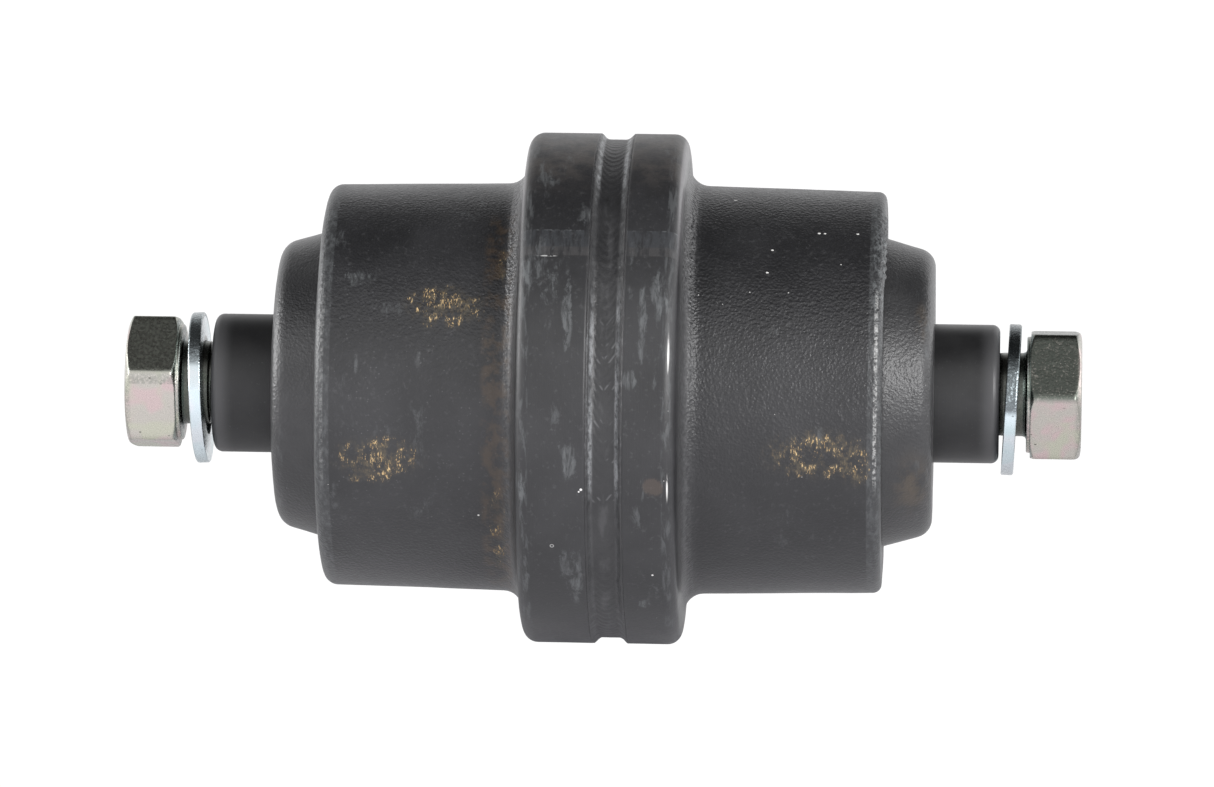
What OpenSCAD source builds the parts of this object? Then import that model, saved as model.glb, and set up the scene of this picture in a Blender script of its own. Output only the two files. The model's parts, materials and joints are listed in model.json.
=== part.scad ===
// Track roller of a small excavator: one centre flange between two treads, turning on a fixed shaft.
// The shaft lies along X, the middle of the roller is at the origin and +Z is up. Sizes in mm.

/* [Roller shell] */
// width of the roller over both treads
shell_w = 106.7; // [104:0.1:112]
// tread diameter at the foot of the flange
tread_d = 78.5; // [77:0.1:84]
// forging draft of the treads, degrees
tread_draft = 1.15; // [0:0.05:2]
// flange diameter
flange_d = 98; // [94:0.5:108]
// flange width at its foot
flange_w = 31.6; // [28:0.1:34]
// forging draft of the flange sides, degrees
flange_draft = 5; // [0:0.5:8]
// fillet between flange side and tread
flange_fillet = 3.8; // [1:0.1:4]
// rounding of the flange crown edges
flange_edge_r = 2.7; // [0.5:0.1:3]
// rounding of the right tread's outer edge
shell_edge_r = 1.7; // [0.5:0.1:2.5]
// rounding of the left tread's outer edge
left_edge_r = 2.4; // [0.5:0.1:3]
// how far the left shell's rim stands out past its tread edge
left_lip = 0.8; // [0:0.1:1.2]

/* [Centre weld] */
// distance of the weld from the middle of the flange, towards +X
weld_x = 1.6; // [-2:0.1:2]
// width of the groove left open above the weld bead
groove_w = 6.4; // [5:0.1:8]
// depth of that groove under the crown
groove_depth = 1.15; // [0.6:0.05:1.8]
// run of each sloping groove flank along X
groove_flank = 1.1; // [0.5:0.1:2]
// depth of the welding bevel under the crown
weld_depth = 8.5; // [6:0.1:11]

/* [End collars] */
// collar diameter at the end of the shell
collar_d = 59.2; // [58:0.1:60]
// how far a collar stands out of the shell
collar_reach = 9.45; // [8:0.05:12]
// forging draft of the collar, degrees
collar_draft = 16; // [8:0.5:18]
// rounding of the outer collar edge
collar_edge_r = 3.6; // [1:0.1:4]
// diameter of the pin that locks a collar to the shaft
pin_d = 4; // [3:0.1:4.5]

/* [Shaft] */
// diameter of the stubs outside the collars
stub_d = 26.6; // [25:0.1:26.8]
// length of a stub outside its collar
stub_len = 12.6; // [10:0.1:16]
// diameter of the seats under the collars
seat_d = 27.4; // [27:0.1:29]
// rounding of the stub ends
stub_edge_r = 1.5; // [0.5:0.1:2]
// diameter of the bearing journals
journal_d = 30; // [29:0.1:31]
// width of the thrust shoulder in the middle
shoulder_w = 19.3; // [16:0.1:20]
// diameter of the thrust shoulder
shoulder_d = 42.8; // [40:0.1:44]

/* [Bushings] */
// radial running clearance of the journals
running_gap = 0.04; // [0.02:0.01:0.08]
// end play between the shoulder and each bushing
end_play = 0.25; // [0.15:0.05:0.4]
// wall of the bushings
bushing_wall = 3; // [2.5:0.1:3.2]
// bushing flange diameter
bushing_flange_d = 44.4; // [42:0.1:46]
// bushing flange thickness
bushing_flange_t = 2.7; // [2:0.1:3]

/* [Bolts and washers] */
// thread diameter of the bolts
bolt_d = 16; // [15.8:0.1:16]
// thread pitch
bolt_pitch = 2; // [2:0.5:2]
// bolt length under the head
bolt_len = 40; // [38:0.5:40]
// hexagon width across flats
hex_af = 23.9; // [23.5:0.1:24]
// head height with its washer face
head_h = 10.5; // [9.5:0.1:11]
// distance from the left head to the shaft end, bolt not tightened
head_gap_left = 6.2; // [6:0.1:9]
// distance from the right head to the shaft end, bolt not tightened
head_gap_right = 5.2; // [5:0.1:9]
// turn of the left head about its axis, degrees
head_turn_left = 6.6; // [-30:0.1:30]
// turn of the right head about its axis, degrees
head_turn_right = -3.5; // [-30:0.1:30]
// washer outer diameter
washer_d = 29; // [27:0.1:31]
// washer hole diameter
washer_bore = 18.2; // [17.8:0.1:19]
// washer thickness
washer_t = 2.4; // [2:0.1:2.6]
// lean of the loose washers, degrees
washer_lean = 2.7; // [1:0.1:3]

/* [Hidden] */
$fn = 96;

// steps in one rounded corner of a turned outline
arc_steps = 8;

// stations along X, right-hand side
shell_end = shell_w / 2;
seal_plane = shell_end - 3.35;
shell_mouth = seal_plane - 0.4;
seal_floor = seal_plane - 6.4;
collar_rim = seal_plane + 0.4;
collar_floor = seal_plane + 6.4;
collar_seat = seal_plane - 0.2;
collar_face = shell_end + collar_reach;
shaft_end = collar_face + stub_len;
pin_x = collar_face - 3.4;
bushing_in = shoulder_w / 2 + end_play;
bushing_seat = bushing_in + bushing_flange_t;
bushing_end = seal_floor - 1;
oil_x = (bushing_in + bushing_end) / 2 - 4;

// radii
flange_r = flange_d / 2;
tread_r = tread_d / 2;
tread_end_r = tread_r - (shell_end - flange_w / 2) * tan(tread_draft);
crown_half = flange_w / 2 - (flange_r - tread_r) * tan(flange_draft);
collar_r = collar_d / 2;
collar_face_r = collar_r - collar_reach * tan(collar_draft);
rim_bore_r = collar_r + 0.9;
stub_r = stub_d / 2;
seat_r = seat_d / 2;
journal_r = journal_d / 2;
bushing_r = journal_r + bushing_wall;
reservoir_r = 27;
seal_deep_r = 25.2;
seal_mouth_r = 26.5;
hub_r = 17.6;
o_ring_seat_r = seat_r + 2;
tap_r = bolt_d / 2 + 0.05;
tap_depth = 40;
plug_r = 5;
plug_len = 8;
gallery_r = 3;

// weld bevel
root_half = 0.8;
toe_half = groove_w / 2 + 0.3;
weld_root_r = flange_r - weld_depth;
bead_r = flange_r - groove_depth;

// ---- turned outlines: corners are [x, radius from the axis, corner rounding] ----

function unit(v) = v / norm(v);
function spot(c) = [c[0], c[1]];
function before(q, i) = spot(q[(i + len(q) - 1) % len(q)]);
function after(q, i) = spot(q[(i + 1) % len(q)]);
function half_angle(a, p, b) = acos(unit(a - p) * unit(b - p)) / 2;
function centre_of(a, p, b, r) = p + unit(unit(a - p) + unit(b - p)) * r / sin(half_angle(a, p, b));
function bearing(c, p) = atan2(p[1] - c[1], p[0] - c[0]);
function short_way(s) = s > 180 ? s - 360 : s < -180 ? s + 360 : s;
function arc(c, r, a0, sweep) =
  [for (k = [0:arc_steps]) c + r * [cos(a0 + sweep * k / arc_steps), sin(a0 + sweep * k / arc_steps)]];
function corner(a, p, b, r) =
  let(d = r / tan(half_angle(a, p, b)),
      c = centre_of(a, p, b, r),
      a0 = bearing(c, p + unit(a - p) * d),
      a1 = bearing(c, p + unit(b - p) * d))
  arc(c, r, a0, short_way(a1 - a0));
function outline(q) =
  [for (i = [0:len(q) - 1])
    each q[i][2] == undef || q[i][2] == 0 ? [spot(q[i])] : corner(before(q, i), spot(q[i]), after(q, i), q[i][2])];

// solid of revolution about X
module turned(q) {
  rotate([0, 90, 0])
    rotate_extrude()
      polygon([for (p = outline(q)) [p[1], p[0]]]);
}

// straight round bar along X from x0 to x1
module bar(x0, x1, r) {
  translate([x0, 0, 0])
    rotate([0, 90, 0])
      cylinder(r = r, h = x1 - x0);
}

module left_hand() {
  mirror([1, 0, 0]) children();
}

// ---- roller ----

// right-hand half shell whose welding face lies at x = w, with its rim proud of the tread edge by lip
module shell_half(w, lip, edge_r) {
  turned([
    [w, reservoir_r],
    [bushing_in, reservoir_r, 2],
    [bushing_in, bushing_flange_d / 2],
    [bushing_seat, bushing_flange_d / 2],
    [bushing_seat, bushing_r],
    [seal_floor, bushing_r],
    [seal_floor, seal_deep_r, 0.8],
    [shell_mouth, seal_mouth_r],
    [shell_mouth, rim_bore_r, 0.5],
    [shell_end + lip - 0.6, rim_bore_r],
    [shell_end + lip, rim_bore_r + 0.6],
    [shell_end, tread_end_r, edge_r],
    [flange_w / 2, tread_r, flange_fillet],
    [crown_half, flange_r, flange_edge_r],
    [w + toe_half, flange_r],
    [w + root_half, weld_root_r],
    [w, weld_root_r]]);
}

module roller_shell_left() {
  color("#3a3b3d") left_hand() shell_half(-weld_x, left_lip, left_edge_r);
}

module roller_shell_right() {
  color("#3a3b3d") shell_half(weld_x, 0, shell_edge_r);
}

module centre_weld_bead() {
  color("#2c2d30")
    turned([
      [weld_x - root_half, weld_root_r],
      [weld_x - toe_half, flange_r],
      [weld_x - groove_w / 2, flange_r],
      [weld_x - groove_w / 2 + groove_flank, bead_r, 1.6],
      [weld_x + groove_w / 2 - groove_flank, bead_r, 1.6],
      [weld_x + groove_w / 2, flange_r],
      [weld_x + toe_half, flange_r],
      [weld_x + root_half, weld_root_r]]);
}

// flanged bimetal bushing with an oil groove over the shaft's oil hole
module bushing() {
  bore_r = journal_r + running_gap;
  turned([
    [bushing_in, bore_r],
    [bushing_in, bushing_flange_d / 2],
    [bushing_seat, bushing_flange_d / 2],
    [bushing_seat, bushing_r],
    [bushing_end - 0.6, bushing_r],
    [bushing_end, bushing_r - 0.6],
    [bushing_end, bore_r],
    [oil_x + 1.5, bore_r],
    [oil_x + 1.5, bore_r + 0.8],
    [oil_x - 1.5, bore_r + 0.8],
    [oil_x - 1.5, bore_r]]);
}

module bushing_left() {
  color("#a9763c") left_hand() bushing();
}

module bushing_right() {
  color("#a9763c") bushing();
}

// ---- seals: rings and torics, mirrored about the sealing plane (side -1 rotating, +1 fixed) ----

function across(side, u) = seal_plane + side * u;

module seal_ring(side) {
  turned([
    [across(side, 0.35), 18.9],
    [across(side, 0.01), 21.8],
    [across(side, 0.01), 24],
    [across(side, 0.3), 24.3],
    [across(side, 1.2), 24.3],
    [across(side, 1.5), 21.6],
    [across(side, 5.3), 20.6],
    [across(side, 5.3), 18.9]]);
}

module toric(side) {
  translate([across(side, 3.6), 0, 0])
    rotate([0, 90, 0])
      rotate_extrude()
        translate([23.4, 0])
          circle(r = 2.2);
}

module rotating_seal_ring_left() {
  color("#8d9096") left_hand() seal_ring(-1);
}

module rotating_seal_ring_right() {
  color("#8d9096") seal_ring(-1);
}

module fixed_seal_ring_left() {
  color("#8d9096") left_hand() seal_ring(1);
}

module fixed_seal_ring_right() {
  color("#8d9096") seal_ring(1);
}

module rotating_toric_left() {
  color("#1b1b1b") left_hand() toric(-1);
}

module rotating_toric_right() {
  color("#1b1b1b") toric(-1);
}

module fixed_toric_left() {
  color("#1b1b1b") left_hand() toric(1);
}

module fixed_toric_right() {
  color("#1b1b1b") toric(1);
}

// ---- shaft and collars ----

// round hole or pin along +Y at the collar pin, between two distances from the axis
module across_pin(y0, y1) {
  translate([pin_x, y0, 0])
    rotate([-90, 0, 0])
      cylinder(r = pin_d / 2, h = y1 - y0);
}

module collar() {
  difference() {
    turned([
      [collar_seat, seat_r],
      [collar_seat, hub_r],
      [collar_floor, hub_r],
      [collar_floor, seal_deep_r, 0.8],
      [collar_rim, seal_mouth_r],
      [collar_rim, collar_r, 0.6],
      [shell_end, collar_r],
      [collar_face, collar_face_r, collar_edge_r],
      [collar_face, seat_r],
      [collar_seat + 4.9, seat_r],
      [collar_seat + 4.9, o_ring_seat_r],
      [collar_seat + 2.1, o_ring_seat_r],
      [collar_seat + 2.1, seat_r]]);
    across_pin(seat_r - 2, collar_r + 4);
  }
}

module end_collar_left() {
  color("#37383a") left_hand() collar();
}

module end_collar_right() {
  color("#37383a") collar();
}

module collar_pin_left() {
  color("#9a9da1") left_hand() across_pin(seat_r - 3.9, collar_r - 2.4);
}

module collar_pin_right() {
  color("#9a9da1") across_pin(seat_r - 3.9, collar_r - 2.4);
}

module o_ring() {
  translate([collar_seat + 3.5, 0, 0])
    rotate([0, 90, 0])
      rotate_extrude()
        translate([seat_r + 1, 0])
          circle(r = 0.98);
}

module collar_o_ring_left() {
  color("#1b1b1b") left_hand() o_ring();
}

module collar_o_ring_right() {
  color("#1b1b1b") o_ring();
}

// tapped hole in the right shaft end, drawn at its thread diameter
module tapped_hole() {
  bar(shaft_end - tap_depth, shaft_end + 1, tap_r);
  translate([shaft_end - 1, 0, 0])
    rotate([0, 90, 0])
      cylinder(r1 = tap_r, r2 = tap_r + 2, h = 2);
}

module shaft() {
  color("#303133")
    difference() {
      turned([
        [-shaft_end, 0],
        [-shaft_end, stub_r, stub_edge_r],
        [-collar_face, stub_r],
        [-collar_face, seat_r],
        [-collar_seat, seat_r],
        [-collar_seat, journal_r, 0.5],
        [-shoulder_w / 2, journal_r],
        [-shoulder_w / 2, shoulder_d / 2, 0.8],
        [shoulder_w / 2, shoulder_d / 2, 0.8],
        [shoulder_w / 2, journal_r],
        [collar_seat, journal_r, 0.5],
        [collar_seat, seat_r],
        [collar_face, seat_r],
        [collar_face, stub_r],
        [shaft_end, stub_r, stub_edge_r],
        [shaft_end, 0]]);
      tapped_hole();
      left_hand() tapped_hole();
      bar(shaft_end - tap_depth - plug_len, shaft_end - tap_depth + 1, plug_r);
      bar(-oil_x - 3, shaft_end - tap_depth, gallery_r);
      translate([0, 0, -shoulder_d]) cylinder(r = 2, h = 2 * shoulder_d);
      for (x = [-oil_x, oil_x])
        translate([x, 0, 0]) cylinder(r = 1.5, h = journal_d);
      across_pin(seat_r - 4, seat_r + 4);
      left_hand() across_pin(seat_r - 4, seat_r + 4);
    }
}

module oil_plug() {
  mouth = shaft_end - tap_depth;
  color("#9a9da1")
    difference() {
      bar(mouth - plug_len + 0.6, mouth - 0.4, plug_r);
      translate([mouth - 4.4, 0, 0])
        rotate([0, 90, 0])
          cylinder(r = 5 / sqrt(3), h = 6, $fn = 6);
    }
}

// ---- bolts and washers ----

neck_len = 5.5;
tip_len = 1.5;
crest_r = bolt_d / 2 - 0.03;
root_r = crest_r - 0.5413 * bolt_pitch;
thread_len = bolt_len - neck_len - tip_len;
rings = floor(thread_len / bolt_pitch);
head_flat_r = 11.2;
hex_r = hex_af / sqrt(3);

// one ring of the thread profile, whose root ends at x on the way to the head
function thread_ring(x) = [
  [x, root_r],
  [x + bolt_pitch / 4, root_r],
  [x + bolt_pitch * 9 / 16, crest_r],
  [x + bolt_pitch * 11 / 16, crest_r]];

// right-hand bolt, underside of the head at x = 0, head towards +X
module bolt_shank() {
  turned(concat(
    [[-bolt_len, 0],
     [-bolt_len, root_r - 0.4],
     [-bolt_len + tip_len, crest_r - 0.3]],
    [for (k = [0:rings - 1]) each thread_ring(-neck_len - (rings - k) * bolt_pitch)],
    [[-neck_len, root_r],
     [-neck_len + 1, bolt_d / 2],
     [-0.6, bolt_d / 2],
     [0, bolt_d / 2 + 0.6],
     [1, bolt_d / 2 + 0.6],
     [1, 0]]));
}

module bolt_head() {
  intersection() {
    rotate([0, 90, 0])
      rotate([0, 0, 30])
        cylinder(r = hex_r, h = head_h, $fn = 6);
    turned([
      [0, 0],
      [0, head_flat_r - 0.1],
      [0.6, head_flat_r - 0.1],
      [0.6 + (hex_r + 0.5 - head_flat_r) * tan(30), hex_r + 0.5],
      [head_h - (hex_r + 0.5 - head_flat_r) * tan(25), hex_r + 0.5],
      [head_h, head_flat_r],
      [head_h, 0]]);
  }
}

module bolt(gap, turn) {
  translate([shaft_end + gap, 0, 0])
    rotate([turn, 0, 0])
      union() {
        bolt_shank();
        bolt_head();
      }
}

module hex_bolt_left() {
  color("#b9bcc0") left_hand() bolt(head_gap_left, -head_turn_left);
}

module hex_bolt_right() {
  color("#b9bcc0") bolt(head_gap_right, -head_turn_right);
}

// loose washer hanging on a bolt shank, foot leaning towards the shaft
module washer(x) {
  drop = washer_bore / 2 * cos(washer_lean) - washer_t / 2 * sin(washer_lean) - bolt_d / 2 - 0.03;
  translate([x, 0, -drop])
    rotate([0, washer_lean, 0])
      turned([
        [-washer_t / 2, washer_bore / 2],
        [-washer_t / 2, washer_d / 2, 0.3],
        [washer_t / 2, washer_d / 2, 0.5],
        [washer_t / 2, washer_bore / 2]]);
}

module plain_washer_left() {
  color("#cfd5da") left_hand() washer(shaft_end + 2.9);
}

module plain_washer_right() {
  color("#cfd5da") washer(shaft_end + 2.3);
}

roller_shell_left();
roller_shell_right();
centre_weld_bead();
bushing_left();
bushing_right();
shaft();
end_collar_left();
end_collar_right();
collar_pin_left();
collar_pin_right();
collar_o_ring_left();
collar_o_ring_right();
rotating_seal_ring_left();
rotating_seal_ring_right();
fixed_seal_ring_left();
fixed_seal_ring_right();
rotating_toric_left();
rotating_toric_right();
fixed_toric_left();
fixed_toric_right();
oil_plug();
hex_bolt_left();
hex_bolt_right();
plain_washer_left();
plain_washer_right();
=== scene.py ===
"""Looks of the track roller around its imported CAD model.

The axis of the roller is X, its middle is the origin and +Z is up. Angles round the axis are
counted from the front (-Y) upwards, so the front is 0 and the top is 90 degrees.
"""

import json
import math

import bmesh
import bpy
import numpy as np
from mathutils import Matrix, Vector, noise


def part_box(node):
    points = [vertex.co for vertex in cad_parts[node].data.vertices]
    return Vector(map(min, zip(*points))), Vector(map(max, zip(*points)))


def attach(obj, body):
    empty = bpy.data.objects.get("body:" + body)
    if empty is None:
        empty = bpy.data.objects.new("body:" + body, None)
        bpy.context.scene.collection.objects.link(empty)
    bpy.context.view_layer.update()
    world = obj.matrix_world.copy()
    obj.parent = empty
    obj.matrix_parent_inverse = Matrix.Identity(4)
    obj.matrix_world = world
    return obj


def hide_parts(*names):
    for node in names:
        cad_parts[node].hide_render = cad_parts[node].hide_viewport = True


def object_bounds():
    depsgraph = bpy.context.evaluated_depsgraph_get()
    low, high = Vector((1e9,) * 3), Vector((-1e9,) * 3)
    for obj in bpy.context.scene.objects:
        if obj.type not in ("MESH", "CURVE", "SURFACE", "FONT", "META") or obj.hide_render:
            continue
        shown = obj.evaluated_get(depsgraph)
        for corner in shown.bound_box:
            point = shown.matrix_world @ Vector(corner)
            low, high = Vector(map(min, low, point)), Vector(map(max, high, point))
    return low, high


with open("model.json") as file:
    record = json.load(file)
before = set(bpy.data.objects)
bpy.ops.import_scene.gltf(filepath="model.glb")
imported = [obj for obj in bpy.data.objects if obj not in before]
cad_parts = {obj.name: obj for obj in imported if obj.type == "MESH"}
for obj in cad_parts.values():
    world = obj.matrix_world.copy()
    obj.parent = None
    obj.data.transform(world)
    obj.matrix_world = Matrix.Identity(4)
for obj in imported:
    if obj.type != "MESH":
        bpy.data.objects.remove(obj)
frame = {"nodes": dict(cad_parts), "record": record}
cad_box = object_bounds()
MM = 0.001

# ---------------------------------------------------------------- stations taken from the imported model
SHELL_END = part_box("roller_shell_right")[1].x
FLANGE_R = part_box("roller_shell_right")[1].z
BEAD_LOW, BEAD_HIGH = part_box("centre_weld_bead")
BEAD_X = (BEAD_LOW.x + BEAD_HIGH.x) / 2

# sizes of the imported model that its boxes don't give
TREAD_END_R = 38.5 * MM
GROOVE_HALF = 3.2 * MM
GROOVE_FLOOR_R = 47.85 * MM
GROOVE_FLOOR_HALF = 2.1 * MM
RIM_BORE_R = 30.5 * MM
COLLAR_R = 29.6 * MM
PIN_X = 59.4 * MM
PIN_R = 2 * MM

# the bolt: head height with the raised face under it, half width across flats, length under the head,
# plain stretch of the shank, thread crest, root and pitch
HEAD_H = 10.5 * MM
FACE_T = 0.75 * MM
HEX_HALF = 11.95 * MM
BOLT_LEN = 40 * MM
PLAIN_LEN = 5.2 * MM
CREST_R = 7.97 * MM
ROOT_R = 6.89 * MM
PITCH = 2 * MM

# steps round the axis of the turned pieces
SHELL_STEPS = 440
BEAD_STEPS = 900
COLLAR_STEPS = 300
BOLT_STEPS = 144

# ripples of the weld pool round the whole bead, 2 mm apart
RIPPLES = round(2 * math.pi * GROOVE_FLOOR_R / (2 * MM))

DEGREES = 180 / math.pi


# ---------------------------------------------------------------- mesh helpers

def smooth(low, high, value):
    """0 below low, 1 above high and an easy curve between, for numbers and arrays."""
    t = np.clip((value - low) / (high - low), 0, 1)
    return t * t * (3 - 2 * t)


def window(low, high, edge, value):
    """1 between low and high, fading to 0 over edge on each side."""
    return smooth(low - edge, low, value) * (1 - smooth(high, high + edge, value))


def grain(points, cell, seed=0.0):
    """Smooth noise of about -1 to 1 at each point, with bumps one cell wide."""
    shift = Vector((seed, seed * 1.7, -seed))
    return np.array([noise.noise(Vector(p) / cell + shift) for p in points])


def outline_of(node):
    """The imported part's outline in the half plane in front of the axis, as a loop of (x, radius)."""
    bm = bmesh.new()
    bm.from_mesh(frame["nodes"][node].data)
    bmesh.ops.remove_doubles(bm, verts=bm.verts, dist=2e-7)
    cut = bmesh.ops.bisect_plane(
        bm, geom=bm.verts[:] + bm.edges[:] + bm.faces[:], dist=1e-8,
        plane_co=(0, 0, 0), plane_no=(0, 0, 1))
    near = {}
    spot = {}
    for e in cut["geom_cut"]:
        if not isinstance(e, bmesh.types.BMEdge) or max(v.co.y for v in e.verts) > 1e-7:
            continue
        keys = []
        for v in e.verts:
            key = (round(v.co.x, 6), round(-v.co.y, 6))
            spot[key] = (v.co.x, -v.co.y)
            keys.append(key)
        if keys[0] != keys[1]:
            near.setdefault(keys[0], []).append(keys[1])
            near.setdefault(keys[1], []).append(keys[0])
    bm.free()
    start = max(near)
    loop, before, here = [start], None, start
    while True:
        after = [k for k in near[here] if k != before]
        before, here = here, after[0]
        if here == start:
            break
        loop.append(here)
    return [spot[k] for k in loop]


def cut_finer(loop, step_at):
    """The loop with each side cut into steps no longer than step_at(x, radius) at its middle."""
    out = []
    for a, b in zip(loop, loop[1:] + loop[:1]):
        length = math.dist(a, b)
        step = step_at((a[0] + b[0]) / 2, (a[1] + b[1]) / 2)
        n = max(1, math.ceil(length / step))
        out += [(a[0] + (b[0] - a[0]) * k / n, a[1] + (b[1] - a[1]) * k / n) for k in range(n)]
    return out


def counterclockwise(loop):
    """The loop in the order that has its inside on the left."""
    area = sum(a[0] * b[1] - b[0] * a[1] for a, b in zip(loop, loop[1:] + loop[:1]))
    return loop if area > 0 else loop[::-1]


def lathe(loop, steps, shape=None, push=None):
    """A closed solid of revolution round X as (points, faces).

    shape(x, r, angle) gives new x and r, and push(x, r, angle, points) gives the height added
    along the outline's own normal. Both work on arrays.
    """
    loop = counterclockwise(loop)
    n = len(loop)
    flat = np.array(loop)
    side = np.roll(flat, -1, 0) - flat
    side /= np.maximum(np.linalg.norm(side, axis=1, keepdims=True), 1e-12)
    out = np.stack([side[:, 1], -side[:, 0]], 1)
    out = out + np.roll(out, 1, 0)
    out /= np.maximum(np.linalg.norm(out, axis=1, keepdims=True), 1e-12)
    angle = np.arange(steps) * 2 * math.pi / steps
    x = np.repeat(flat[:, 0], steps)
    r = np.repeat(flat[:, 1], steps)
    nx = np.repeat(out[:, 0], steps)
    nr = np.repeat(out[:, 1], steps)
    a = np.tile(angle, n)
    if shape:
        x, r = shape(x, r, a)
    if push:
        at = np.stack([x, -r * np.cos(a), r * np.sin(a)], 1)
        h = push(x, r, a, at)
        x, r = x + nx * h, r + nr * h
    points = np.stack([x, -r * np.cos(a), r * np.sin(a)], 1)
    i = np.repeat(np.arange(n), steps)
    j = np.tile(np.arange(steps), n)
    k, m = (i + 1) % n, (j + 1) % steps
    faces = np.stack([i * steps + j, k * steps + j, k * steps + m, i * steps + m], 1)
    return points, faces


def piece(name, points, faces, material, body, node):
    """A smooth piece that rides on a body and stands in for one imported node."""
    mesh = bpy.data.meshes.new(name)
    mesh.from_pydata([tuple(p) for p in points], [], [tuple(int(v) for v in f) for f in faces])
    bm = bmesh.new()
    bm.from_mesh(mesh)
    bmesh.ops.recalc_face_normals(bm, faces=bm.faces)
    bm.to_mesh(mesh)
    bm.free()
    mesh.shade_smooth()
    mesh.materials.append(material)
    obj = bpy.data.objects.new(name, mesh)
    bpy.context.scene.collection.objects.link(obj)
    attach(obj, body)
    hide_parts(node)
    return obj


# ---------------------------------------------------------------- material helpers

def put(tree, socket, value):
    """Links a node's output to the socket, or sets a plain value on it."""
    if isinstance(value, bpy.types.NodeSocket):
        tree.links.new(value, socket)
    else:
        socket.default_value = value


def math_node(tree, kind, a, b=None):
    n = tree.nodes.new("ShaderNodeMath")
    n.operation = kind
    put(tree, n.inputs[0], a)
    if b is not None:
        put(tree, n.inputs[1], b)
    return n.outputs[0]


def ramp_node(tree, value, low, high, to_low, to_high):
    """An easy ramp from to_low, where value is low, to to_high, where value is high."""
    n = tree.nodes.new("ShaderNodeMapRange")
    n.interpolation_type = "SMOOTHSTEP"
    put(tree, n.inputs["Value"], value)
    put(tree, n.inputs["From Min"], low)
    put(tree, n.inputs["From Max"], high)
    put(tree, n.inputs["To Min"], to_low)
    put(tree, n.inputs["To Max"], to_high)
    return n.outputs[0]


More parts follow.
